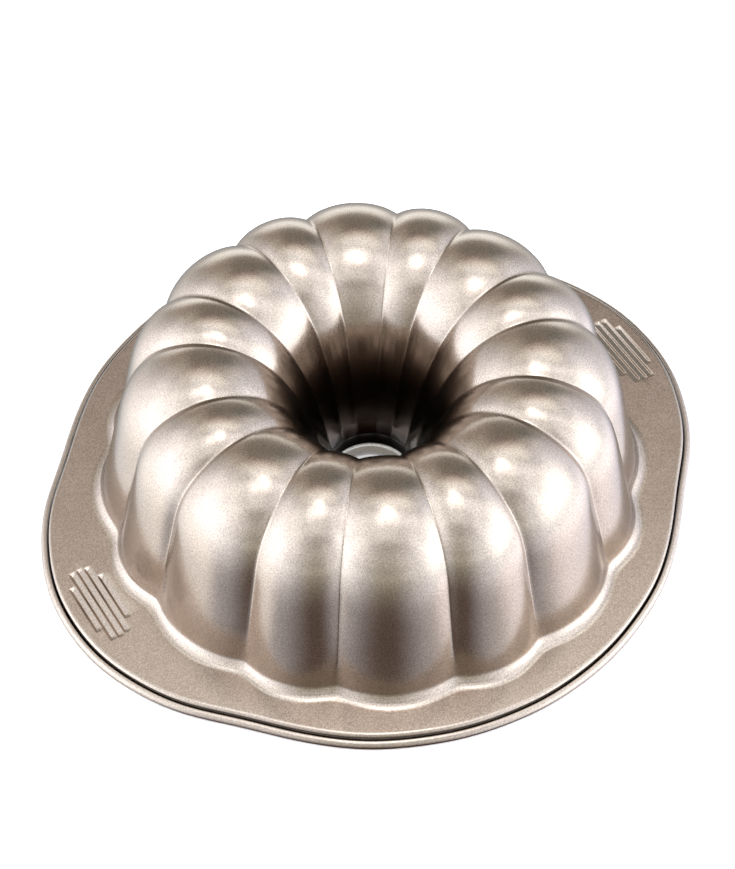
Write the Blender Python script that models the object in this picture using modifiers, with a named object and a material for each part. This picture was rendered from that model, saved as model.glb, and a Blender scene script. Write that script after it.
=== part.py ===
"""Fluted tube pan, standing upside down on its rim.

Frame: metres, +Z up through the crown, origin on the pan axis at the level of
the surface that the rim stands on, +X through the middle of one grip.

Sub-parts
    pan_body   one drawn sheet shell: tube, crown, fluted wall, flange, curl
    rim_wire   round wire lying inside the rolled edge of the shell
"""

import bpy
import math
import numpy as np

MM = 0.001

# ---------------------------------------------------------------- dimensions
SHEET_T = 0.8                     # sheet thickness
FLANGE_Z = 6.4                    # outer face of the flange above the table

# crest line of a flute, from the foot of the outer wall over the crown and
# down the tube: (radius, height)
CREST = ((119.60, 14.50), (115.78, 30.82), (111.61, 50.06), (102.90, 73.63),
         (76.83, 88.61), (49.08, 80.25), (32.73, 57.83), (24.08, 30.40),
         (18.00, 3.93))
# depth of the creases below the crest line, at equal steps along it
FLUTE_DEPTH = (3.90, 5.38, 4.37, 1.86, 1.10, 0.75)
FLUTE_ARC = 0.64                  # roundness of the lobe section
CREST_SHIFT = 0.03                # wide lobes stand out, narrow ones sit in
CREASE_ROUND_FOOT = 9.0           # radius that the creases open to at the foot
CREASE_ROUND_REACH = 27.0         # and the length over which they open
LOBES = 16                        # eight wide and eight narrow, alternating
FIRST_CREASE = -127.08            # angle of crease 12 before the shift, deg
WIDE_EXTRA = 1.16                 # half-width that a wide lobe has extra, deg

TUBE_FLUTE_END_Z = 9.65           # the flutes stop here, inside the tube
TUBE_LIP_Z = 1.1                  # outer face of the flat lip in the tube
TUBE_LIP_R = 19.4                 # inner face of the plain band over the lip
TUBE_LIP_FILLET = 1.2
TUBE_HOLE_R = 14.6

FOOT_FILLET = 6.2                 # wall to flange, on the outside

RIM_R = 145.07                    # mean radius of the outline of the rolled edge
RIM_COS = (5.80, 3.87, 1.24, -0.26, -0.47, -0.02, 0.16, 0.07, 0.0, -0.04, -0.08)
                                  # of cos 2a, cos 4a, ...
RIM_TURN = 1.0                    # the outline is turned by this, deg
CURL_R = 2.17                     # outer radius of the rolled edge
CURL_END = 460.0                  # where the raw edge of the curl stops, deg
FLANGE_FLAT_END = 5.10            # in from the outline

GROOVE_MID = 138.70               # middle one of the five grip grooves
GROOVE_PITCH = 3.46
GROOVE_HALF = (12.5, 19.5, 19.9, 19.0, 12.5)        # outermost first
GROOVE_DEPTH = 0.70
GROOVE_WALL = 0.95                # run of the steep outer wall
GROOVE_SLOPE = 2.40               # run of the slow inner slope
GROOVE_TAPER = 0.7                # length over which each end runs out

WIRE_R = 1.0

LOBE_STEPS = 6                    # facets across one lobe
FLUTE_RINGS = 11                  # rings between the foot and the tube end
FILLET_STEPS = 3
CURL_STEP = 45.0

# coating and wire colours, linear
COAT = (0.402, 0.318, 0.242, 1.0)
STEEL = (0.330, 0.325, 0.320, 1.0)


# ---------------------------------------------------------------- scene reset
for old in list(bpy.data.objects):
    bpy.data.objects.remove(old, do_unlink=True)
for old in list(bpy.data.meshes):
    bpy.data.meshes.remove(old)
for old in list(bpy.data.curves):
    bpy.data.curves.remove(old)
for old in list(bpy.data.materials):
    bpy.data.materials.remove(old)
for old in list(bpy.data.collections):
    bpy.data.collections.remove(old)

part_collection = bpy.data.collections.new("fluted_tube_pan")
cutter_collection = bpy.data.collections.new("grip_tools")
bpy.context.scene.collection.children.link(part_collection)
bpy.context.scene.collection.children.link(cutter_collection)


# ---------------------------------------------------------------- materials
def material(name, color, metallic, roughness):
    mat = bpy.data.materials.new(name)
    mat.use_nodes = True
    shader = mat.node_tree.nodes["Principled BSDF"]
    shader.inputs["Base Color"].default_value = color
    shader.inputs["Metallic"].default_value = metallic
    shader.inputs["Roughness"].default_value = roughness
    mat.diffuse_color = color
    return mat


coat_material = material("pan_coating", COAT, 0.85, 0.38)
steel_material = material("wire_steel", STEEL, 1.0, 0.45)


# ---------------------------------------------------------------- flute shape
class CrestLine:
    """Natural cubic through the crest points, by chord length."""

    def __init__(self, points):
        self.p = np.array(points, dtype=float)
        step = np.hypot(*np.diff(self.p, axis=0).T)
        self.d = np.concatenate(([0.0], np.cumsum(step)))
        n = len(self.d)
        a = np.zeros((n, n))
        b = np.zeros((n, 2))
        a[0, 0] = a[-1, -1] = 1.0
        for i in range(1, n - 1):
            h0, h1 = step[i - 1], step[i]
            a[i, i - 1], a[i, i], a[i, i + 1] = h0, 2.0 * (h0 + h1), h1
            b[i] = 6.0 * ((self.p[i + 1] - self.p[i]) / h1
                          - (self.p[i] - self.p[i - 1]) / h0)
        self.m = np.linalg.solve(a, b)
        self.length = self.d[-1]

    def at(self, t):
        s = min(max(t, 0.0), 1.0) * self.length
        i = min(int(np.searchsorted(self.d, s, side="right")) - 1,
                len(self.d) - 2)
        h = self.d[i + 1] - self.d[i]
        u, v = (self.d[i + 1] - s) / h, (s - self.d[i]) / h
        point = (u * self.p[i] + v * self.p[i + 1]
                 + ((u ** 3 - u) * self.m[i]
                    + (v ** 3 - v) * self.m[i + 1]) * h * h / 6.0)
        slope = ((self.p[i + 1] - self.p[i]) / h
                 + (-(3 * u * u - 1) * self.m[i]
                    + (3 * v * v - 1) * self.m[i + 1]) * h / 6.0)
        return point, slope / np.hypot(*slope)


crest_line = CrestLine(CREST)


def flute_depth(t):
    return float(np.interp(t, np.linspace(0.0, 1.0, len(FLUTE_DEPTH)),
                           FLUTE_DEPTH))


def flute_ring(t):
    """Wide crest, narrow crest and crease of one ring, each (r, z)."""
    point, tangent = crest_line.at(t)
    normal = np.array((tangent[1], -tangent[0]))
    depth = flute_depth(t)
    return (point + normal * depth * CREST_SHIFT,
            point - normal * depth * CREST_SHIFT,
            point - normal * depth)


def crown_t():
    samples = np.linspace(0.0, 1.0, 4001)
    heights = [crest_line.at(t)[0][1] for t in samples]
    return float(samples[int(np.argmax(heights))])


def tube_end_t():
    low, high = 0.7, 1.0
    for _ in range(50):
        mid = 0.5 * (low + high)
        if crest_line.at(mid)[0][1] > TUBE_FLUTE_END_Z:
            low = mid
        else:
            high = mid
    return 0.5 * (low + high)


def ring_positions(count):
    """Rings closer together where the crest line turns, one on the crown."""
    end = tube_end_t()
    samples = np.linspace(0.0, end, 2001)
    tangents = np.array([crest_line.at(t)[1] for t in samples])
    heading = np.unwrap(np.arctan2(tangents[:, 1], tangents[:, 0]))
    turn = np.concatenate(([0.0], np.cumsum(np.abs(np.diff(heading)))))
    weight = samples / end + 1.3 * turn / turn[-1]
    wanted = np.linspace(0.0, weight[-1], count)
    rings = np.interp(wanted, weight, samples)
    top = crown_t()
    rings[int(np.argmin(np.abs(rings - top)))] = top
    return rings


def lobe_weight(u, opened, half_width):
    """0 on the crest of a lobe, 1 on its creases, which may be opened out."""
    def drop(across):
        d = math.hypot((1.0 - across) * half_width, opened)
        v = 1.0 - d / half_width
        return 1.0 - math.sqrt(1.0 - FLUTE_ARC * v * v)

    return drop(abs(u)) / drop(1.0)


def crease_opening(along):
    """Radius of a crease, this far up from the end of the foot fillet."""
    rest = max(0.0, 1.0 - along / CREASE_ROUND_REACH)
    return CREASE_ROUND_FOOT * rest * rest


def flute_stations():
    """(angle, place across the lobe, half-width, wide) of every station."""
    reach = math.asin(math.sqrt(FLUTE_ARC))
    pitch = 360.0 / LOBES
    stations = []
    for k in range(LOBES, 0, -1):
        wide = k % 2 == 1
        middle = FIRST_CREASE - pitch * (k - 12) - 0.5 * pitch
        half = 0.5 * pitch + (WIDE_EXTRA if wide else -WIDE_EXTRA)
        for j in range(LOBE_STEPS):
            u = (math.sin(reach * (2.0 * j / LOBE_STEPS - 1.0))
                 / math.sqrt(FLUTE_ARC))
            stations.append((math.radians(middle + u * half), u,
                             math.radians(half), wide))
    return stations


def foot_rings():
    """Fillet from the wall down to the flange, for each of the three lines."""
    lines = []
    _, tangent = crest_line.at(0.0)
    drop = math.atan2(tangent[1], -tangent[0])
    for start in flute_ring(0.0):
        z_arc = FLANGE_Z + FOOT_FILLET * (1.0 - math.cos(drop))
        run = (start[1] - z_arc) / math.tan(drop)
        centre = (start[0] + run + FOOT_FILLET * math.sin(drop),
                  FLANGE_Z + FOOT_FILLET)
        lines.append([(centre[0] - FOOT_FILLET * math.sin(a),
                       centre[1] - FOOT_FILLET * math.cos(a))
                      for a in np.linspace(drop, 0.0, FILLET_STEPS + 1)])
    return [tuple(np.array(line[i]) for line in lines)
            for i in range(FILLET_STEPS + 1)]


# ---------------------------------------------------------------- rim outline
def outline(angle):
    """Outermost point of the rolled edge and the way out, square to it."""
    turned = angle - math.radians(RIM_TURN)
    r = RIM_R + sum(c * math.cos(2 * (i + 1) * turned)
                    for i, c in enumerate(RIM_COS))
    dr = -sum(c * 2 * (i + 1) * math.sin(2 * (i + 1) * turned)
              for i, c in enumerate(RIM_COS))
    ca, sa = math.cos(angle), math.sin(angle)
    along = np.array((dr * ca - r * sa, dr * sa + r * ca))
    along /= np.hypot(*along)
    return np.array((r * ca, r * sa)), np.array((along[1], -along[0]))


def rim_section():
    """Visible face of the sheet from the flange to the raw edge of the curl,
    as (distance in from the outline, height)."""
    inner = CURL_R - SHEET_T
    wall = CURL_R + inner
    bend = FLANGE_FLAT_END - wall
    section = [(FLANGE_FLAT_END, FLANGE_Z),
               (FLANGE_FLAT_END - bend * math.sin(math.pi / 4),
                FLANGE_Z - bend + bend * math.cos(math.pi / 4)),
               (wall, FLANGE_Z - bend)]
    corner = inner / math.cos(math.radians(CURL_STEP / 2))
    angle = 180.0 + CURL_STEP / 2
    while angle < CURL_END - 1.0:
        a = math.radians(angle)
        section.append((CURL_R - corner * math.cos(a),
                        CURL_R + corner * math.sin(a)))
        angle += CURL_STEP
    over = math.radians(CURL_END - 450.0)
    section.append((CURL_R + inner * math.tan(over), CURL_R + inner))
    return section


# ---------------------------------------------------------------- pan body
def tube_rings():
    """Lip, its fillet and the plain band, from the hole upwards."""
    rings = [(TUBE_HOLE_R, TUBE_LIP_Z)]
    centre = (TUBE_LIP_R - TUBE_LIP_FILLET, TUBE_LIP_Z + TUBE_LIP_FILLET)
    for a in (0.0, 45.0, 90.0):
        rings.append((centre[0] + TUBE_LIP_FILLET * math.sin(math.radians(a)),
                      centre[1] - TUBE_LIP_FILLET * math.cos(math.radians(a))))
    return rings


def build_body():
    stations = flute_stations()
    count = len(stations)
    rows = []
    for r, z in tube_rings():
        rows.append([(r * math.cos(a), r * math.sin(a), z)
                     for a, _, _, _ in stations])
    places = ring_positions(FLUTE_RINGS)[::-1]
    fillet = foot_rings()
    fillet_length = sum(math.dist(fillet[i][0], fillet[i + 1][0])
                        for i in range(FILLET_STEPS))
    rings = [(flute_ring(t), fillet_length + t * crest_line.length)
             for t in places]
    rings += [(ring, fillet_length * (1.0 - i / FILLET_STEPS))
              for i, ring in enumerate(fillet)]
    for ring, along in rings:
        opened = crease_opening(along)
        row = []
        for a, u, half, wide in stations:
            crest = ring[0] if wide else ring[1]
            w = lobe_weight(u, opened, half * ring[2][0])
            r, z = crest + (ring[2] - crest) * w
            row.append((r * math.cos(a), r * math.sin(a), z))
        rows.append(row)
    # the rim has stations of its own, equally spaced and on both axes
    step = 2.0 * math.pi / count
    first = round(stations[0][0] / step)
    for inset, z in rim_section():
        row = []
        for i in range(count):
            p, n = outline((first + i) * step)
            row.append((p[0] - n[0] * inset, p[1] - n[1] * inset, z))
        rows.append(row)

    verts = [(x * MM, y * MM, z * MM) for row in rows for x, y, z in row]
    faces = []
    for j in range(len(rows) - 1):
        for i in range(count):
            k = (i + 1) % count
            faces.append((j * count + i, (j + 1) * count + i,
                          (j + 1) * count + k, j * count + k))
    mesh = bpy.data.meshes.new("pan_body")
    mesh.from_pydata(verts, [], faces)
    mesh.validate()
    mesh.update()
    for polygon in mesh.polygons:
        polygon.use_smooth = True
    body = bpy.data.objects.new("pan_body", mesh)
    body.data.materials.append(coat_material)
    part_collection.objects.link(body)
    solid = body.modifiers.new("sheet", "SOLIDIFY")
    solid.thickness = SHEET_T * MM
    solid.offset = -1.0
    solid.use_even_offset = True
    solid.use_quality_normals = True
    return body


# ---------------------------------------------------------------- grip grooves
def groove_bars(name, top, knee, low):
    """Five bars with a steep outer and a slow inner flank at both grips.

    The bars' flanks meet `low` under the zero level and stop at `knee`; their
    flat backs are at `top`.  Levels are counted from the face they belong to.
    """
    verts, faces = [], []
    for side in (1.0, -1.0):
        for i, half in enumerate(GROOVE_HALF):
            middle = GROOVE_MID + GROOVE_PITCH * (2 - i)
            bottom = middle - 0.5 * GROOVE_WALL
            rise = 1.0 + knee / GROOVE_DEPTH
            outer = bottom + GROOVE_WALL * rise
            inner = bottom - GROOVE_SLOPE * rise
            long = half + GROOVE_TAPER * knee / GROOVE_DEPTH
            short = half - GROOVE_TAPER
            base = len(verts)
            for x, y, z in ((outer, -long, knee), (outer, long, knee),
                            (inner, long, knee), (inner, -long, knee),
                            (outer, -long, top), (outer, long, top),
                            (inner, long, top), (inner, -long, top),
                            (bottom, -short, low), (bottom, short, low)):
                verts.append((side * x * MM, side * y * MM, z * MM))
            for f in ((4, 5, 6, 7), (0, 1, 5, 4), (2, 3, 7, 6), (1, 2, 6, 5),
                      (3, 0, 4, 7), (1, 0, 8, 9), (3, 2, 9, 8), (2, 1, 9),
                      (0, 3, 8)):
                faces.append(tuple(base + v for v in f))
    mesh = bpy.data.meshes.new(name)
    mesh.from_pydata(verts, [], faces)
    mesh.validate()
    mesh.update()
    bars = bpy.data.objects.new(name, mesh)
    bars.hide_render = True
    bars.display_type = "WIRE"
    cutter_collection.objects.link(bars)
    return bars


def shape_grips(body):
    under = FLANGE_Z - SHEET_T
    ribs = groove_bars("grip_ribs", 0.05, 0.03, -GROOVE_DEPTH)
    grooves = groove_bars("grip_grooves", 0.80, 0.03, -GROOVE_DEPTH)
    ribs.location.z = under * MM
    grooves.location.z = FLANGE_Z * MM
    for tool, operation in ((ribs, "UNION"), (grooves, "DIFFERENCE")):
        step = body.modifiers.new(tool.name, "BOOLEAN")
        step.object = tool
        step.operation = operation
        step.solver = "EXACT"


# ---------------------------------------------------------------- rim wire
def build_wire(count):
    curve = bpy.data.curves.new("rim_wire", "CURVE")
    curve.dimensions = "3D"
    curve.bevel_depth = WIRE_R * MM
    curve.bevel_resolution = 2
    curve.use_fill_caps = True
    spline = curve.splines.new("POLY")
    spline.points.add(count - 1)
    for i in range(count):
        p, n = outline(2.0 * math.pi * i / count)
        spline.points[i].co = ((p[0] - n[0] * CURL_R) * MM,
                               (p[1] - n[1] * CURL_R) * MM, CURL_R * MM, 1.0)
    spline.use_cyclic_u = True
    wire = bpy.data.objects.new("rim_wire", curve)
    wire.data.materials.append(steel_material)
    part_collection.objects.link(wire)
    return wire


pan_body = build_body()
shape_grips(pan_body)
build_wire(LOBES * LOBE_STEPS)
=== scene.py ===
import math

import bpy
import numpy as np
from mathutils import Matrix, Vector
from mathutils.geometry import delaunay_2d_cdt


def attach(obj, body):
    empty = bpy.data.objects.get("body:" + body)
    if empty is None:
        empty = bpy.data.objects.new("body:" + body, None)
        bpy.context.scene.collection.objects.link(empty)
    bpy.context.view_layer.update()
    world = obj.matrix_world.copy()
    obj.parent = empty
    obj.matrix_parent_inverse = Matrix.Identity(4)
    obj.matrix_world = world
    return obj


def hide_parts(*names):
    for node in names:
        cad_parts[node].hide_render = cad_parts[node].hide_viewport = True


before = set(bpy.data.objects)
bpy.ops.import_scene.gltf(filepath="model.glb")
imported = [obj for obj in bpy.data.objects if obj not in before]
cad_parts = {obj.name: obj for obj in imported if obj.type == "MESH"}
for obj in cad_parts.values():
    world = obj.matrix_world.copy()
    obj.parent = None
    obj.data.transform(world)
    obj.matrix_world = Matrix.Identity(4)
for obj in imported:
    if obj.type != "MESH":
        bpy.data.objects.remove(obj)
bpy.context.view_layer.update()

MM = 0.001

# ------------------------------------------------------------------ shape data
# The same dimensions as the CAD shell, in millimetres.
SHEET_T = 0.8
FLANGE_Z = 6.4
CREST = ((119.60, 14.50), (115.78, 30.82), (111.61, 50.06), (102.90, 73.63),
         (76.83, 88.61), (49.08, 80.25), (32.73, 57.83), (24.08, 30.40),
         (18.00, 3.93))
FLUTE_DEPTH = (3.90, 5.38, 4.37, 1.86, 1.10, 0.75)
FLUTE_ARC = 0.64
CREST_SHIFT = 0.03
LOBES = 16
FIRST_CREASE = -127.08
WIDE_EXTRA = 1.16
CREASE_ROUND = 0.45
CREASE_ROUND_FOOT = 9.0
CREASE_ROUND_REACH = 27.0
CREASE_ROUND_TUBE = 1.0

TUBE_FLUTE_END_Z = 9.65
TUBE_LIP_Z = 1.1
TUBE_LIP_R = 19.4
TUBE_LIP_FILLET = 1.2
TUBE_HOLE_R = 14.6
FOOT_FILLET = 6.2

RIM_R = 145.07
RIM_COS = (5.80, 3.87, 1.24, -0.26, -0.47, -0.02, 0.16, 0.07, 0.0, -0.04, -0.08)
RIM_TURN = 1.0
CURL_R = 2.17
CURL_END = 460.0
FLANGE_FLAT_END = 5.10

GROOVE_MID = 138.70
GROOVE_PITCH = 3.46
GROOVE_HALF = (12.5, 19.5, 19.9, 19.0, 12.5)
GROOVE_DEPTH = 0.70
GROOVE_WALL = 0.95
GROOVE_SLOPE = 2.40
GROOVE_TAPER = 0.7
WIRE_R = 1.0

HALF_LOBE = 10                    # stations across half a lobe
FLUTE_RINGS = 54
RIM_STATIONS = 384
FOOT_STEPS = 12


# ------------------------------------------------------------------ flutes
class CrestLine:
    """Natural cubic through the crest points, by chord length."""

    def __init__(self, points):
        self.p = np.array(points, dtype=float)
        step = np.hypot(*np.diff(self.p, axis=0).T)
        self.d = np.concatenate(([0.0], np.cumsum(step)))
        n = len(self.d)
        a = np.zeros((n, n))
        b = np.zeros((n, 2))
        a[0, 0] = a[-1, -1] = 1.0
        for i in range(1, n - 1):
            h0, h1 = step[i - 1], step[i]
            a[i, i - 1], a[i, i], a[i, i + 1] = h0, 2.0 * (h0 + h1), h1
            b[i] = 6.0 * ((self.p[i + 1] - self.p[i]) / h1
                          - (self.p[i] - self.p[i - 1]) / h0)
        self.m = np.linalg.solve(a, b)
        self.length = self.d[-1]

    def at(self, t):
        s = min(max(t, 0.0), 1.0) * self.length
        i = min(int(np.searchsorted(self.d, s, side="right")) - 1,
                len(self.d) - 2)
        h = self.d[i + 1] - self.d[i]
        u, v = (self.d[i + 1] - s) / h, (s - self.d[i]) / h
        point = (u * self.p[i] + v * self.p[i + 1]
                 + ((u ** 3 - u) * self.m[i]
                    + (v ** 3 - v) * self.m[i + 1]) * h * h / 6.0)
        slope = ((self.p[i + 1] - self.p[i]) / h
                 + (-(3 * u * u - 1) * self.m[i]
                    + (3 * v * v - 1) * self.m[i + 1]) * h / 6.0)
        return point, slope / np.hypot(*slope)


crest_line = CrestLine(CREST)


def flute_ring(t):
    point, tangent = crest_line.at(t)
    normal = np.array((tangent[1], -tangent[0]))
    knots = np.linspace(0.0, 1.0, len(FLUTE_DEPTH))
    depth = float(np.interp(t, knots, FLUTE_DEPTH))
    return (point + normal * depth * CREST_SHIFT,
            point - normal * depth * CREST_SHIFT,
            point - normal * depth)


def tube_end_t():
    low, high = 0.7, 1.0
    for _ in range(50):
        mid = 0.5 * (low + high)
        if crest_line.at(mid)[0][1] > TUBE_FLUTE_END_Z:
            low = mid
        else:
            high = mid
    return 0.5 * (low + high)


def ring_positions(count):
    end = tube_end_t()
    samples = np.linspace(0.0, end, 4001)
    tangents = np.array([crest_line.at(t)[1] for t in samples])
    heading = np.unwrap(np.arctan2(tangents[:, 1], tangents[:, 0]))
    turn = np.concatenate(([0.0], np.cumsum(np.abs(np.diff(heading)))))
    weight = samples / end + 1.0 * turn / turn[-1]
    return np.interp(np.linspace(0.0, weight[-1], count), weight, samples)


def flute_stations():
    """Angle, position across the lobe, half-width and kind of each station."""
    pitch = 360.0 / LOBES
    n = HALF_LOBE
    angle, across, half_width, wide_lobe = [], [], [], []
    for k in range(LOBES, 0, -1):
        wide = k % 2 == 1
        middle = FIRST_CREASE - pitch * (k - 12) - 0.5 * pitch
        half = 0.5 * pitch + (WIDE_EXTRA if wide else -WIDE_EXTRA)
        for j in range(2 * n):
            q = j / n - 1.0
            u = math.copysign(1.0 - (1.0 - abs(q)) ** 1.8, q)
            angle.append(math.radians(middle + u * half))
            across.append(abs(u))
            half_width.append(math.radians(half))
            wide_lobe.append(wide)
    return (np.array(angle), np.array(across), np.array(half_width),
            np.array(wide_lobe))


ANGLE, ACROSS, HALF_WIDTH, WIDE = flute_stations()


def crease_opening(along):
    """How far a crease opens out, this far up from the foot's outer edge."""
    rest = max(0.0, 1.0 - along / CREASE_ROUND_REACH)
    return CREASE_ROUND_FOOT * rest * rest


def crease_radius(along):
    tube = min(max((along - 140.0) / 50.0, 0.0), 1.0)
    return CREASE_ROUND + (CREASE_ROUND_TUBE - CREASE_ROUND) * tube


def fluted_row(ring, opening=0.0, rounding=CREASE_ROUND):
    """One ring of points on the lobes, with a radius in each crease."""
    crest = np.where(WIDE[:, None], ring[0], ring[1])
    half = HALF_WIDTH * ring[2][0]

    def drop(across, opened):
        d = np.sqrt(((1.0 - across) * half) ** 2 + opened ** 2)
        v = 1.0 - d / half
        return 1.0 - np.sqrt(1.0 - FLUTE_ARC * v * v)

    w = drop(ACROSS, math.hypot(opening, rounding)) / drop(1.0, opening)
    rz = crest + (ring[2] - crest) * w[:, None]
    return np.stack((rz[:, 0] * np.cos(ANGLE), rz[:, 0] * np.sin(ANGLE),
                     rz[:, 1]), 1)


def foot_rings(steps):
    lines = []
    _, tangent = crest_line.at(0.0)
    drop = math.atan2(tangent[1], -tangent[0])
    for start in flute_ring(0.0):
        z_arc = FLANGE_Z + FOOT_FILLET * (1.0 - math.cos(drop))
        run = (start[1] - z_arc) / math.tan(drop)
        centre = (start[0] + run + FOOT_FILLET * math.sin(drop),
                  FLANGE_Z + FOOT_FILLET)
        lines.append([np.array((centre[0] - FOOT_FILLET * math.sin(a),
                                centre[1] - FOOT_FILLET * math.cos(a)))
                      for a in np.linspace(drop, 0.0, steps + 1)])
    return [tuple(line[i] for line in lines) for i in range(steps + 1)]


# ------------------------------------------------------------------ rim
def outline(angle):
    k = 2.0 * np.arange(1, len(RIM_COS) + 1)
    c = np.array(RIM_COS)
    a = np.atleast_1d(angle)
    turned = a[:, None] - math.radians(RIM_TURN)
    r = RIM_R + (c * np.cos(turned * k)).sum(1)
    dr = -(c * k * np.sin(turned * k)).sum(1)
    ca, sa = np.cos(a), np.sin(a)
    along = np.stack((dr * ca - r * sa, dr * sa + r * ca), 1)
    along /= np.linalg.norm(along, axis=1)[:, None]
    return (np.stack((r * ca, r * sa), 1),
            np.stack((along[:, 1], -along[:, 0]), 1))


RIM_ANGLE = np.arange(RIM_STATIONS) * 2.0 * math.pi / RIM_STATIONS
RIM_P, RIM_N = outline(RIM_ANGLE)


def rim_row(inset, z):
    p = RIM_P - RIM_N * inset
    return np.column_stack((p, np.full(len(p), z)))


def rim_section():
    inner = CURL_R - SHEET_T
    wall = CURL_R + inner
    bend = FLANGE_FLAT_END - wall
    section = [(FLANGE_FLAT_END - bend * math.sin(a),
                FLANGE_Z - bend + bend * math.cos(a))
               for a in np.linspace(0.0, math.pi / 2, 7)]
    section.append((wall, 0.5 * (FLANGE_Z - bend + CURL_R)))
    section += [(CURL_R - inner * math.cos(a), CURL_R + 0.0005 + inner * math.sin(a))
                for a in np.radians(np.linspace(180.0, CURL_END, 15))]
    return section


# ------------------------------------------------------------------ grooves
def soft_max(a, b, e):
    return 0.5 * (a + b + np.sqrt((a - b) ** 2 + e * e))


def groove_height(x, y):
    """Height of the grip face over the flange plane (never above it)."""
    ax, ay = np.abs(x), np.abs(y)
    lowest = np.zeros_like(ax)
    for i, half in enumerate(GROOVE_HALF):
        middle = GROOVE_MID + GROOVE_PITCH * (2 - i)
        bottom = middle - 0.5 * GROOVE_WALL
        steep = -GROOVE_DEPTH * (1.0 - (ax - bottom) / GROOVE_WALL)
        slow = -GROOVE_DEPTH * (1.0 - (bottom - ax) / GROOVE_SLOPE)
        ends = -GROOVE_DEPTH * (half - ay) / GROOVE_TAPER
        h = soft_max(soft_max(steep, slow, 0.10), ends, 0.10)
        h = -soft_max(-h, 0.0, 0.06)
        lowest = np.minimum(lowest, -soft_max(-h - 0.004, 0.0, 0.0))
    return lowest


PATCH_X = np.arange(128.9, 147.01, 0.2)
PATCH_Y = np.linspace(-20.5, 20.5, 65)


# ------------------------------------------------------------------ shell mesh
class Sheet:
    """Points and faces of the visible face of the pressed sheet."""

    def __init__(self):
        self.rows = []
        self.count = 0
        self.faces = []
        self.flat = []

    def add(self, points):
        first = self.count
        self.rows.append(np.asarray(points, dtype=float))
        self.count += len(points)
        return first

    def band(self, a, b, n):
        for i in range(n):
            k = (i + 1) % n
            self.faces.append((a + i, b + i, b + k, a + k))


def polar_radius(points, angle):
    a = np.arctan2(points[:, 1], points[:, 0])
    r = np.hypot(points[:, 0], points[:, 1])
    order = np.argsort(a)
    a, r = a[order], r[order]
    a = np.concatenate((a - 2 * math.pi, a, a + 2 * math.pi))
    return np.interp(angle, a, np.concatenate((r, r, r)))


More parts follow.
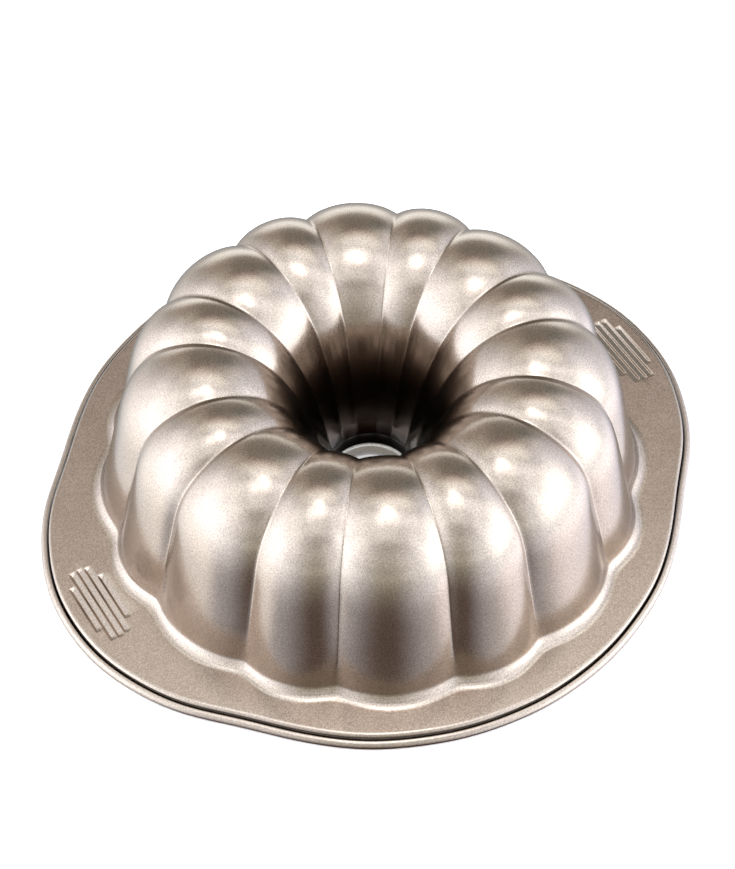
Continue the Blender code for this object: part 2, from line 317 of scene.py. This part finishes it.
def build_sheet():
    s = Sheet()
    n = len(ANGLE)
    ca, sa = np.cos(ANGLE), np.sin(ANGLE)

    # flat lip in the tube, its fillet, and the plain band above it
    lip = [(TUBE_HOLE_R, TUBE_LIP_Z), (TUBE_HOLE_R + 0.7, TUBE_LIP_Z)]
    cr, cz = TUBE_LIP_R - TUBE_LIP_FILLET, TUBE_LIP_Z + TUBE_LIP_FILLET
    lip += [(cr + TUBE_LIP_FILLET * math.sin(a),
             cz - TUBE_LIP_FILLET * math.cos(a))
            for a in np.linspace(0.0, math.pi / 2, 7)]
    starts = []
    for r, z in lip:
        starts.append(s.add(np.stack((r * ca, r * sa, np.full(n, z)), 1)))
    places = ring_positions(FLUTE_RINGS)[::-1]
    fillet = foot_rings(FOOT_STEPS)
    fillet_length = sum(math.dist(fillet[i][0], fillet[i + 1][0])
                        for i in range(FOOT_STEPS))
    tube = [flute_ring(t) for t in places]
    end_row = fluted_row(tube[0], 0.0, CREASE_ROUND_TUBE)
    band_row = np.stack((lip[-1][0] * ca, lip[-1][0] * sa,
                         np.full(n, lip[-1][1])), 1)
    for f in (0.25, 0.5, 0.75, 0.9):
        flat_end = np.stack(((20.35 * ca), (20.35 * sa), end_row[:, 2]), 1)
        blend = f * f * f
        top = flat_end + (end_row - flat_end) * blend
        starts.append(s.add(band_row + (top - band_row) * f))
    for ring, t in zip(tube, places):
        along = fillet_length + t * crest_line.length
        starts.append(s.add(fluted_row(ring, crease_opening(along),
                                       crease_radius(along))))
    for i, ring in enumerate(fillet):
        opened = crease_opening(fillet_length * (1.0 - i / FOOT_STEPS))
        starts.append(s.add(fluted_row(ring, opened)))
    last = s.rows[-1]
    radial = last[:, :2] / np.linalg.norm(last[:, :2], axis=1)[:, None]
    guard = last.copy()
    guard[:, :2] += radial * 0.35
    starts.append(s.add(guard))
    for a, b in zip(starts[:-1], starts[1:]):
        s.band(a, b, n)
    s.lip_edge = starts[0]
    foot_guard = starts[-1]

    # flange: guard loop, rounded step and curl
    rows = [rim_row(FLANGE_FLAT_END + 0.35, FLANGE_Z)]
    rows += [rim_row(i, z) for i, z in rim_section()]
    m = RIM_STATIONS
    rim_starts = [s.add(row) for row in rows]
    for a, b in zip(rim_starts[:-1], rim_starts[1:]):
        s.band(a, b, m)
    s.curl_edge = rim_starts[-1]
    s.curl_first = rim_starts[9]
    rim_guard = rim_starts[0]

    # grips: two fine patches that carry the grooves
    patches = []
    nx, ny = len(PATCH_X), len(PATCH_Y)
    for side in (1.0, -1.0):
        gx, gy = np.meshgrid(side * PATCH_X, side * PATCH_Y, indexing="ij")
        h = groove_height(gx, gy)
        h[0, :] = h[-1, :] = 0.0
        h[:, 0] = h[:, -1] = 0.0
        first = s.add(np.stack((gx.ravel(), gy.ravel(),
                                FLANGE_Z + h.ravel()), 1))
        ij = np.arange(nx * ny).reshape(nx, ny) + first
        for i in range(nx - 1):
            for j in range(ny - 1):
                s.faces.append((ij[i, j], ij[i + 1, j],
                                ij[i + 1, j + 1], ij[i, j + 1]))
        loop = (list(ij[:, 0]) + list(ij[-1, 1:]) + list(ij[-2::-1, -1])
                + list(ij[0, -2:0:-1]))
        patches.append(loop)
    points = np.concatenate(s.rows)

    # the rest of the flange is flat, so it is filled between those loops
    loops = [list(range(foot_guard, foot_guard + n)),
             list(range(rim_guard, rim_guard + m))] + patches
    ids = [i for loop in loops for i in loop]
    index = {v: i for i, v in enumerate(ids)}
    edges = []
    for loop in loops:
        edges += [(index[loop[i]], index[loop[(i + 1) % len(loop)]])
                  for i in range(len(loop))]
    # a sparse set of free points keeps the flat triangles compact
    foot_pts, rim_pts = points[loops[0]], points[loops[1]]
    extra = []
    for a in np.linspace(0.0, 2 * math.pi, 241)[:-1]:
        r0 = float(polar_radius(foot_pts, a))
        r1 = float(polar_radius(rim_pts, a))
        for f in (0.33, 0.66):
            r = r0 + (r1 - r0) * f
            x, y = r * math.cos(a), r * math.sin(a)
            if not (PATCH_X[0] - 0.8 < abs(x) < PATCH_X[-1] + 0.8
                    and abs(y) < PATCH_Y[-1] + 0.8):
                extra.append((x, y, FLANGE_Z))
    extra_first = s.add(extra)
    points = np.concatenate(s.rows)
    ids += list(range(extra_first, extra_first + len(extra)))
    coords = [Vector((points[i, 0], points[i, 1])) for i in ids]
    out = delaunay_2d_cdt(coords, edges, [], 0, 1e-5, True)
    out_verts, out_faces, origin = out[0], out[2], out[3]
    back = []
    for i, v in enumerate(out_verts):
        if not origin[i]:
            raise RuntimeError("the flange filling made a point of its own")
        back.append(ids[origin[i][0]])
    used = points[:, :2]
    for f in out_faces:
        tri = [back[i] for i in f]
        c = used[tri].mean(0)
        a, r = math.atan2(c[1], c[0]), math.hypot(c[0], c[1])
        if r < polar_radius(foot_pts, a) or r > polar_radius(rim_pts, a):
            continue
        if (PATCH_X[0] < abs(c[0]) < PATCH_X[-1]
                and abs(c[1]) < PATCH_Y[-1]):
            continue
        e1, e2 = used[tri[1]] - used[tri[0]], used[tri[2]] - used[tri[0]]
        if e1[0] * e2[1] - e1[1] * e2[0] < 0:
            tri.reverse()
        s.faces.append(tuple(tri))
    return s, points


def vertex_normals(points, faces):
    mesh = bpy.data.meshes.new("normals_tmp")
    mesh.from_pydata([tuple(p) for p in points], [], faces)
    mesh.update()
    normals = np.zeros(len(points) * 3, dtype=np.float32)
    mesh.vertex_normals.foreach_get("vector", normals)
    bpy.data.meshes.remove(mesh)
    return normals.reshape(-1, 3).astype(float)


def build_shell():
    s, top = build_sheet()
    normals = vertex_normals(top, s.faces)
    # the seen face is the upper one: its normals point up over the flange
    if normals[s.curl_first - 9 * RIM_STATIONS, 2] < 0:
        normals = -normals
        s.faces = [tuple(reversed(f)) for f in s.faces]
    below = top - normals * SHEET_T
    n = len(top)
    points = [top, below]
    faces = list(s.faces) + [tuple(reversed([v + n for v in f]))
                             for f in s.faces]
    total = 2 * n
    edge_faces = []
    for first, count in ((s.lip_edge, len(ANGLE)),
                         (s.curl_edge, RIM_STATIONS)):
        ids = np.arange(first, first + count)
        nxt = ids + count if first == s.lip_edge else ids - count
        out = top[ids] - top[nxt]
        nn = normals[ids]
        out -= nn * (out * nn).sum(1)[:, None]
        out /= np.linalg.norm(out, axis=1)[:, None]
        chain = [ids]
        for e, d in ((0.07, 0.015), (0.11, 0.08), (0.11, 0.72),
                     (0.07, 0.785)):
            points.append(top[ids] + out * e - nn * d)
            chain.append(np.arange(total, total + count))
            total += count
        chain.append(ids + n)
        for c, (a, b) in enumerate(zip(chain[:-1], chain[1:])):
            for i in range(count):
                k = (i + 1) % count
                quad = (a[i], a[k], b[k], b[i])
                if first != s.lip_edge:
                    quad = tuple(reversed(quad))
                edge_faces.append(tuple(int(v) for v in quad))
    first_edge = len(faces)
    faces += edge_faces
    points = np.concatenate(points)
    return s, points, faces, first_edge, n


sheet, shell_points, shell_faces, first_edge_face, top_count = build_shell()


mesh = bpy.data.meshes.new("pan_shell")
mesh.from_pydata([tuple(p * MM) for p in shell_points], [], shell_faces)
mesh.validate()
mesh.update()
mesh.polygons.foreach_set("use_smooth", [True] * len(mesh.polygons))
# the raw cut edges of the sheet, where the steel shows
bare = mesh.attributes.new("bare", "FLOAT", "POINT")
bare.data.foreach_set("value", [0.0] * (2 * top_count)
                      + [1.0] * (len(mesh.vertices) - 2 * top_count))
shell = bpy.data.objects.new("pan_shell", mesh)
bpy.context.scene.collection.objects.link(shell)
print("shell faces", len(mesh.polygons))


# ------------------------------------------------------------------ rim wire
def build_wire():
    sides = 14
    p, nrm = outline(np.arange(320) * 2.0 * math.pi / 320)
    rows = []
    for j in range(sides):
        a = 2.0 * math.pi * j / sides
        q = p - nrm * (CURL_R + WIRE_R * math.cos(a))
        rows.append(np.column_stack((q, np.full(len(q), CURL_R
                                                + WIRE_R * math.sin(a)))))
    verts = np.concatenate(rows) * MM
    m = len(p)
    faces = []
    for j in range(sides):
        k = (j + 1) % sides
        for i in range(m):
            h = (i + 1) % m
            faces.append((j * m + i, k * m + i, k * m + h, j * m + h))
    data = bpy.data.meshes.new("rim_wire_round")
    data.from_pydata([tuple(v) for v in verts], [], faces)
    data.update()
    data.polygons.foreach_set("use_smooth", [True] * len(data.polygons))
    wire = bpy.data.objects.new("rim_wire_round", data)
    bpy.context.scene.collection.objects.link(wire)
    return wire


wire = build_wire()


# ------------------------------------------------------------------ materials
class Nodes:
    """Short way to build a node tree."""

    def __init__(self, name):
        self.mat = bpy.data.materials.new(name)
        self.mat.use_nodes = True
        self.tree = self.mat.node_tree
        self.shader = self.tree.nodes["Principled BSDF"]
        self.coords = self.tree.nodes.new("ShaderNodeTexCoord").outputs["Object"]

    def new(self, kind, **settings):
        node = self.tree.nodes.new(kind)
        for key, value in settings.items():
            setattr(node, key, value)
        return node

    def put(self, socket, value):
        if isinstance(value, bpy.types.NodeSocket):
            self.tree.links.new(value, socket)
        else:
            socket.default_value = value

    def noise(self, size_mm, detail=2.0, roughness=0.5, stretch=None, turn=None):
        """Noise with features of about this size."""
        vector = self.coords
        if stretch:
            mapping = self.new("ShaderNodeMapping")
            self.put(mapping.inputs["Vector"], vector)
            mapping.inputs["Scale"].default_value = stretch
            if turn:
                mapping.inputs["Rotation"].default_value = turn
            vector = mapping.outputs[0]
        node = self.new("ShaderNodeTexNoise")
        self.put(node.inputs["Vector"], vector)
        node.inputs["Scale"].default_value = 1000.0 / size_mm
        node.inputs["Detail"].default_value = detail
        node.inputs["Roughness"].default_value = roughness
        return node.outputs["Fac"]

    def cells(self, size_mm):
        node = self.new("ShaderNodeTexVoronoi")
        self.put(node.inputs["Vector"], self.coords)
        node.inputs["Scale"].default_value = 1000.0 / size_mm
        return node.outputs["Color"]

    def math(self, operation, a, b=0.0, c=0.0):
        node = self.new("ShaderNodeMath", operation=operation)
        for socket, value in zip(node.inputs, (a, b, c)):
            self.put(socket, value)
        return node.outputs[0]

    def span(self, value, low, high, to_low, to_high):
        node = self.new("ShaderNodeMapRange", clamp=True)
        for socket, v in zip(node.inputs, (value, low, high, to_low, to_high)):
            self.put(socket, v)
        return node.outputs["Result"]

    def mix(self, factor, a, b):
        node = self.new("ShaderNodeMix", data_type="RGBA")
        self.put(node.inputs[0], factor)
        self.put(node.inputs[6], a)
        self.put(node.inputs[7], b)
        return node.outputs[2]

    def times(self, color, value):
        node = self.new("ShaderNodeVectorMath", operation="SCALE")
        self.put(node.inputs[0], color)
        self.put(node.inputs["Scale"], value)
        return node.outputs[0]

    def first(self, color):
        node = self.new("ShaderNodeSeparateColor")
        self.put(node.inputs[0], color)
        return node.outputs[0]

    def bump(self, height, depth_mm, normal=None):
        node = self.new("ShaderNodeBump")
        node.inputs["Strength"].default_value = 1.0
        node.inputs["Distance"].default_value = depth_mm * MM
        self.put(node.inputs["Height"], height)
        if normal is not None:
            self.put(node.inputs["Normal"], normal)
        return node.outputs[0]


COAT_COLOR = (0.315, 0.251, 0.202, 1.0)
COAT_PALE = (0.430, 0.365, 0.305, 1.0)
COAT_BROWN = (0.256, 0.194, 0.147, 1.0)
# painted shade colour for the inside of the tube
COAT_TUBE_SHADE = (0.090, 0.062, 0.046, 1.0)
LIP_PALE = (0.345, 0.292, 0.235)
# painted highlight colour for the outer edge of the tube lip
LIP_EDGE_HIGHLIGHT = (0.900, 0.860, 0.760)
BARE_STEEL = (0.460, 0.445, 0.425, 1.0)
COAT_ROUGHNESS = 0.20


def coat_material():
    """Champagne coating: a satin metallic film with a fine sprayed grain."""
    n = Nodes("pan_coating")
    grain = n.noise(0.62, 2.0, 0.55)
    flakes = n.first(n.cells(0.42))
    cloud = n.noise(14.0, 3.0, 0.5)
    patina = n.noise(75.0, 2.0, 0.5)
    peel = n.noise(4.5, 1.0, 0.5)
    rubs = n.noise(3.2, 2.0, 0.6, (0.06, 1.0, 1.0), (0.0, 0.0, 0.7))
    ridge = n.new("ShaderNodeNewGeometry").outputs["Pointiness"]

    # colour: film thickness, sprayed grain, single pale flakes, worn ridges
    color = n.mix(n.span(patina, 0.38, 0.70, 0.0, 0.10), COAT_COLOR, COAT_BROWN)
    color = n.mix(n.span(flakes, 0.0, 1.0, 0.0, 0.14), color, COAT_PALE)
    worn = n.math("MULTIPLY", n.span(ridge, 0.535, 0.60, 0.0, 0.5),
                  n.span(cloud, 0.38, 0.62, 0.4, 1.0))
    color = n.mix(worn, color, COAT_PALE)
    shade = n.math("MULTIPLY", n.span(grain, 0.30, 0.70, 0.76, 1.24),
                   n.span(cloud, 0.30, 0.70, 0.975, 1.025))
    color = n.times(color, shade)
    # painted shade: the coating colour is darkened towards near black down in the
    # tube, most of all low in it
    flat = n.new("ShaderNodeVectorMath", operation="MULTIPLY")
    n.put(flat.inputs[0], n.coords)
    flat.inputs[1].default_value = (1.0, 1.0, 0.0)
    out = n.new("ShaderNodeVectorMath", operation="LENGTH")
    n.put(out.inputs[0], flat.outputs[0])
    height = n.new("ShaderNodeSeparateXYZ")
    n.put(height.inputs[0], n.coords)
    depth = n.span(out.outputs["Value"], 0.019, 0.046, 1.0, 0.0)
    color = n.mix(n.math("MULTIPLY", depth, 0.85), color, COAT_TUBE_SHADE)
    deep_tube_shade = n.math("MULTIPLY", n.span(out.outputs["Value"], 0.027, 0.034, 1.0, 0.0),
                  n.span(height.outputs["Z"], 0.010, 0.042, 0.86, 0.0))
    color = n.times(color, n.math("SUBTRACT", 1.0, deep_tube_shade))
    near = n.span(out.outputs["Value"], 0.0235, 0.0245, 1.0, 0.0)
    # painted shade: the plain band low in the tube, just above its lip, is darkened
    # almost to black
    band = n.math("MULTIPLY", near,
                  n.span(height.outputs["Z"], 0.0095, 0.0115, 1.0, 0.0))
    color = n.times(color, n.math("SUBTRACT", 1.0, n.math("MULTIPLY", band, 0.80)))
    # the small lip at its end is worn pale and dull, and a painted highlight, a
    # near-white ring, sits on its outer fillet
    lip = n.math("MULTIPLY", near,
                 n.span(height.outputs["Z"], 0.0018, 0.0026, 1.0, 0.0))
    pale = n.mix(n.span(out.outputs["Value"], 0.0185, 0.0189, 0.0, 1.0),
                 LIP_PALE + (1.0,), LIP_EDGE_HIGHLIGHT + (1.0,))
    color = n.mix(lip, color, n.times(pale, shade))
    bare = n.new("ShaderNodeAttribute", attribute_name="bare").outputs["Fac"]
    color = n.mix(bare, color, BARE_STEEL)
    n.put(n.shader.inputs["Base Color"], color)
    n.put(n.shader.inputs["Metallic"], n.math("MULTIPLY_ADD", lip, -0.75, 1.0))

    rough = n.math("ADD", n.span(grain, 0.30, 0.70, -0.018, 0.018),
                   n.span(cloud, 0.30, 0.70, COAT_ROUGHNESS - 0.02,
                          COAT_ROUGHNESS + 0.02))
    rough = n.math("ADD", rough, n.span(rubs, 0.60, 0.80, 0.0, 0.02))
    rough = n.math("SUBTRACT", rough, n.math("MULTIPLY", worn, 0.04))
    rough = n.math("ADD", rough, n.math("MULTIPLY", bare, 0.10))
    rough = n.math("MULTIPLY_ADD", lip, 0.28, rough)
    n.put(n.shader.inputs["Roughness"], rough)

    normal = n.bump(peel, 0.008)
    normal = n.bump(grain, 0.0015, normal)
    n.put(n.shader.inputs["Normal"], normal)
    return n.mat


def steel_material():
    """Drawn wire: bright steel with draw lines and a few dull spots."""
    n = Nodes("wire_steel")
    lines = n.noise(0.35, 2.0, 0.6)
    dull = n.noise(6.0, 3.0, 0.55)
    color = n.mix(n.span(dull, 0.45, 0.70, 0.0, 0.6),
                  (0.33, 0.325, 0.32, 1.0), (0.22, 0.205, 0.19, 1.0))
    color = n.times(color, n.span(lines, 0.30, 0.70, 0.88, 1.12))
    n.put(n.shader.inputs["Base Color"], color)
    n.shader.inputs["Metallic"].default_value = 1.0
    n.put(n.shader.inputs["Roughness"],
          n.math("ADD", n.span(dull, 0.35, 0.70, 0.36, 0.52),
                 n.span(lines, 0.30, 0.70, -0.04, 0.04)))
    n.put(n.shader.inputs["Normal"], n.bump(lines, 0.006))
    return n.mat


def floor_material():
    """White table: matt, with a very faint unevenness."""
    n = Nodes("floor_pale")
    soft = n.noise(260.0, 2.0, 0.5)
    fine = n.noise(2.5, 2.0, 0.5)
    n.put(n.shader.inputs["Base Color"],
          n.times(FLOOR_COLOR, n.math("MULTIPLY", n.span(soft, 0.3, 0.7, 0.99, 1.0),
                                      n.span(fine, 0.3, 0.7, 0.995, 1.0))))
    n.shader.inputs["Roughness"].default_value = 0.9
    return n.mat


FLOOR_COLOR = (0.86, 0.81, 0.76)
coat = coat_material()
steel = steel_material()
shell.data.materials.append(coat)
wire.data.materials.append(steel)

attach(shell, "root")
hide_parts("pan_body")
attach(wire, "root")
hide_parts("rim_wire")


# ------------------------------------------------------------------ stage
def stage():
    data = bpy.data.meshes.new("floor")
    h = 6.0
    data.from_pydata([(-h, -h, 0.0), (h, -h, 0.0), (h, h, 0.0), (-h, h, 0.0)],
                     [], [(0, 1, 2, 3)])
    floor = bpy.data.objects.new("floor", data)
    bpy.context.scene.collection.objects.link(floor)
    data.materials.append(floor_material())
    floor.visible_glossy = False
    floor.visible_diffuse = False


stage()


def area_light(name, position, target, size, power, turn=0.0,
               color=(1.0, 1.0, 1.0)):
    data = bpy.data.lights.new(name, "AREA")
    data.shape = "RECTANGLE"
    data.size, data.size_y = size
    data.energy = power
    data.color = color
    light = bpy.data.objects.new(name, data)
    light.location = position
    direction = Vector(target) - Vector(position)
    light.rotation_euler = direction.to_track_quat("-Z", "Y").to_euler()
    light.rotation_euler.rotate_axis("Z", turn)
    bpy.context.scene.collection.objects.link(light)
    return light


# The studio is made of broad soft panels round the pan (azimuth, half-width and
# edge softness in degrees; lower and upper edge and edge softness as heights on
# the unit sphere; colour) and of soft rectangles overhead (extent across and
# along the line of sight, on the unit sphere; colour).
AZ_VIEW = -31.1
BAR_SOFT = 0.09
PANELS = ((-108.9, 31.6, 42.5, -0.45, 0.88, 0.51, (2.77, 3.18, 3.64)),
          (51.0, 25.1, 52.1, -0.56, 0.73, 0.21, (1.76, 2.03, 2.52)),
          (70.2, 24.7, 29.1, -0.94, -0.40, 0.37, (1.52, 1.61, 1.88)),
          (-167.5, 79.6, 12.0, -1.11, -0.22, 0.74, (1.27, 1.37, 1.37)),
          (13.5, 62.9, 10.5, -0.03, 0.56, 0.89, (1.31, 1.48, 1.38)),
          (105.9, 88.2, 8.0, -0.29, 1.16, 0.13, (0.30, 0.41, 0.40)),
          (-95.7, 93.5, 10.0, 0.61, 0.72, 0.33, (1.13, 1.19, 1.23)),
          (150.0, 60.0, 30.0, -0.30, 0.40, 0.15, (0.11, 0.06, 0.06)),
          (150.0, 60.0, 25.0, 0.80, 0.95, 0.06, (1.02, 1.10, 1.11)),
          (122.0, 34.0, 5.0, 0.80, 0.95, 0.06, (0.38, 0.41, 0.41)),
          (150.0, 20.0, 12.0, -0.18, 0.16, 0.10, (1.45, 1.60, 1.70)),
          (-31.0, 50.0, 25.0, 0.05, 0.26, 0.07, (0.24, 0.27, 0.26)),
          (60.0, 35.0, 15.0, -0.60, -0.25, 0.08, (0.46, 0.45, 0.44)),
          (-120.0, 30.0, 15.0, -0.60, -0.20, 0.08, (0.32, 0.31, 0.31)),
          (-105.0, 20.0, 15.0, -0.10, 0.50, 0.15, (0.58, 0.64, 0.81)),
          (45.0, 20.0, 15.0, -0.10, 0.50, 0.15, (1.31, 1.36, 1.50)),
          (50.0, 40.0, 20.0, -0.75, -0.35, 0.15, (0.14, 0.12, 0.05)),
          (85.0, 18.0, 15.0, -0.30, 0.70, 0.15, (0.23, 0.22, 0.26)))
OVERHEAD = ((-0.98, -0.60, -0.50, -0.15, (0.50, 0.58, 0.67)),
            (-0.98, -0.60, -0.15, 0.12, (0.66, 0.66, 0.78)),
            (-0.98, -0.60, 0.12, 0.45, (0.19, 0.20, 0.22)),
            (-0.60, -0.22, -0.95, -0.50, (0.16, 0.17, 0.16)),
            (-0.60, -0.22, -0.50, -0.15, (0.72, 0.80, 0.83)),
            (-0.60, -0.22, -0.15, 0.12, (1.14, 1.29, 1.33)),
            (-0.60, -0.22, 0.45, 0.70, (0.21, 0.15, 0.11)),
            (-0.60, -0.22, 0.70, 0.95, (0.27, 0.21, 0.19)),
            (-0.22, 0.22, -0.95, -0.50, (0.17, 0.20, 0.26)),
            (-0.22, 0.22, -0.50, -0.15, (1.73, 1.96, 2.17)),
            (-0.22, 0.22, -0.15, 0.12, (3.45, 3.70, 4.10)),
            (-0.22, 0.22, 0.12, 0.45, (1.33, 1.53, 1.81)),
            (-0.22, 0.22, 0.45, 0.70, (0.14, 0.00, 0.00)),
            (-0.22, 0.22, 0.70, 0.95, (0.12, 0.08, 0.06)),
            (0.22, 0.60, -0.95, -0.50, (0.24, 0.27, 0.31)),
            (0.22, 0.60, -0.50, -0.15, (1.38, 1.52, 1.77)),
            (0.22, 0.60, -0.15, 0.12, (2.07, 2.25, 2.72)),
            (0.22, 0.60, 0.12, 0.45, (0.83, 0.90, 1.05)),
            (0.22, 0.60, 0.45, 0.70, (0.61, 0.59, 0.59)),
            (0.60, 0.98, -0.50, -0.15, (0.55, 0.58, 0.64)),
            (0.60, 0.98, -0.15, 0.12, (1.05, 1.09, 1.22)),
            (0.60, 0.98, 0.12, 0.45, (0.36, 0.37, 0.43)))
AMBIENT = (0.072, 0.002, 0.0)
SHADE_BEHIND = 0.62


def direction(azimuth, elevation):
    a, e = math.radians(azimuth), math.radians(elevation)
    return (math.sin(a) * math.cos(e), -math.cos(a) * math.cos(e), math.sin(e))


def studio_world():
    scene = bpy.context.scene
    world = scene.world or bpy.data.worlds.new("studio")
    scene.world = world
    world.use_nodes = True
    tree = world.node_tree
    tree.nodes.clear()
    out = tree.nodes.new("ShaderNodeOutputWorld")
    back = tree.nodes.new("ShaderNodeBackground")
    coords = tree.nodes.new("ShaderNodeTexCoord").outputs["Generated"]

    def link(a, socket):
        if isinstance(a, bpy.types.NodeSocket):
            tree.links.new(a, socket)
        else:
            socket.default_value = a

    def math_node(operation, *values):
        node = tree.nodes.new("ShaderNodeMath")
        node.operation = operation
        for socket, value in zip(node.inputs, values):
            link(value, socket)
        return node.outputs[0]

    def dot(vector, other):
        node = tree.nodes.new("ShaderNodeVectorMath")
        node.operation = "DOT_PRODUCT"
        link(vector, node.inputs[0])
        node.inputs[1].default_value = other
        return node.outputs["Value"]

    def edge(value, start, end):
        node = tree.nodes.new("ShaderNodeMapRange")
        node.interpolation_type = "SMOOTHSTEP"
        for socket, v in zip(node.inputs, (value, start, end, 0.0, 1.0)):
            link(v, socket)
        return node.outputs["Result"]

    flat = tree.nodes.new("ShaderNodeVectorMath")
    flat.operation = "MULTIPLY"
    link(coords, flat.inputs[0])
    flat.inputs[1].default_value = (1.0, 1.0, 0.0)
    level = tree.nodes.new("ShaderNodeVectorMath")
    level.operation = "NORMALIZE"
    link(flat.outputs[0], level.inputs[0])
    height = dot(coords, (0.0, 0.0, 1.0))
    total = AMBIENT

    def add(shape, color, total):
        node = tree.nodes.new("ShaderNodeVectorMath")
        node.operation = "MULTIPLY_ADD"
        for socket, value in zip(node.inputs, (shape, color, total)):
            link(value, socket)
        return node.outputs[0]

    for azimuth, half, soft, low, high, soft_z, color in PANELS:
        c = dot(level.outputs[0], direction(azimuth, 0.0))
        outer = math.cos(math.radians(min(half + soft, 180.0)))
        inner = math.cos(math.radians(max(half - soft, 0.0)))
        shape = math_node("MULTIPLY", edge(c, outer, inner),
                          edge(height, low - soft_z, low + soft_z))
        shape = math_node("MULTIPLY", shape,
                          edge(height, high + soft_z, high - soft_z))
        total = add(shape, color, total)
    right, away = direction(AZ_VIEW + 90.0, 0.0), direction(AZ_VIEW + 180.0, 0.0)
    across, along = dot(coords, right), dot(coords, away)
    above = edge(height, 0.0, 0.25)
    strips = {}

    def strip(value, low, high):
        if (value, low, high) not in strips:
            strips[value, low, high] = math_node(
                "MULTIPLY", edge(value, low - BAR_SOFT, low + BAR_SOFT),
                edge(value, high + BAR_SOFT, high - BAR_SOFT))
        return strips[value, low, high]

    for left, right_end in sorted({bar[:2] for bar in OVERHEAD}):
        column = (0.0, 0.0, 0.0)
        for bar in OVERHEAD:
            if bar[:2] == (left, right_end):
                column = add(strip(along, bar[2], bar[3]), bar[4], column)
        shape = math_node("MULTIPLY", above, strip(across, left, right_end))
        total = add(shape, column, total)
    # the table just behind the pan is in its shade
    behind = dot(coords, direction(AZ_VIEW + 180.0, -52.3))
    shade = math_node("MULTIPLY_ADD",
                      edge(behind, math.cos(math.radians(40.0)),
                           math.cos(math.radians(14.0))), -SHADE_BEHIND, 1.0)
    total = add(total, shade, (0.0, 0.0, 0.0))
    tree.links.new(total, back.inputs["Color"])
    back.inputs["Strength"].default_value = 1.0
    tree.links.new(back.outputs[0], out.inputs["Surface"])


studio_world()
area_light("lamp", (0.037, 0.022, 0.84), (0.0, 0.0, 0.09), (0.21, 0.12), 0.41,
           math.radians(-31.0))
bpy.context.scene.view_settings.view_transform = "Standard"


# ------------------------------------------------------------------ camera
AZIMUTH, ELEVATION = math.radians(-31.112), math.radians(52.261)
DISTANCE, SHIFT_RIGHT, SHIFT_UP = 1087.04, -1.486, 20.624
FOCAL_PX, FRAME_PX = 2389.62, 735.0


def camera():
    back = np.array((math.sin(AZIMUTH) * math.cos(ELEVATION),
                     -math.cos(AZIMUTH) * math.cos(ELEVATION),
                     math.sin(ELEVATION)))
    right = np.array((math.cos(AZIMUTH), math.sin(AZIMUTH), 0.0))
    up = np.cross(back, right)
    place = (back * DISTANCE + right * SHIFT_RIGHT + up * SHIFT_UP) * MM
    data = bpy.data.cameras.new("camera")
    data.sensor_fit = "HORIZONTAL"
    data.sensor_width = 36.0
    data.lens = FOCAL_PX * 36.0 / FRAME_PX
    data.clip_end = 20.0
    cam = bpy.data.objects.new("camera", data)
    rot = Matrix((right, up, back)).transposed()
    cam.matrix_world = Matrix.Translation(Vector(place)) @ rot.to_4x4()
    bpy.context.scene.collection.objects.link(cam)
    bpy.context.scene.camera = cam


camera()
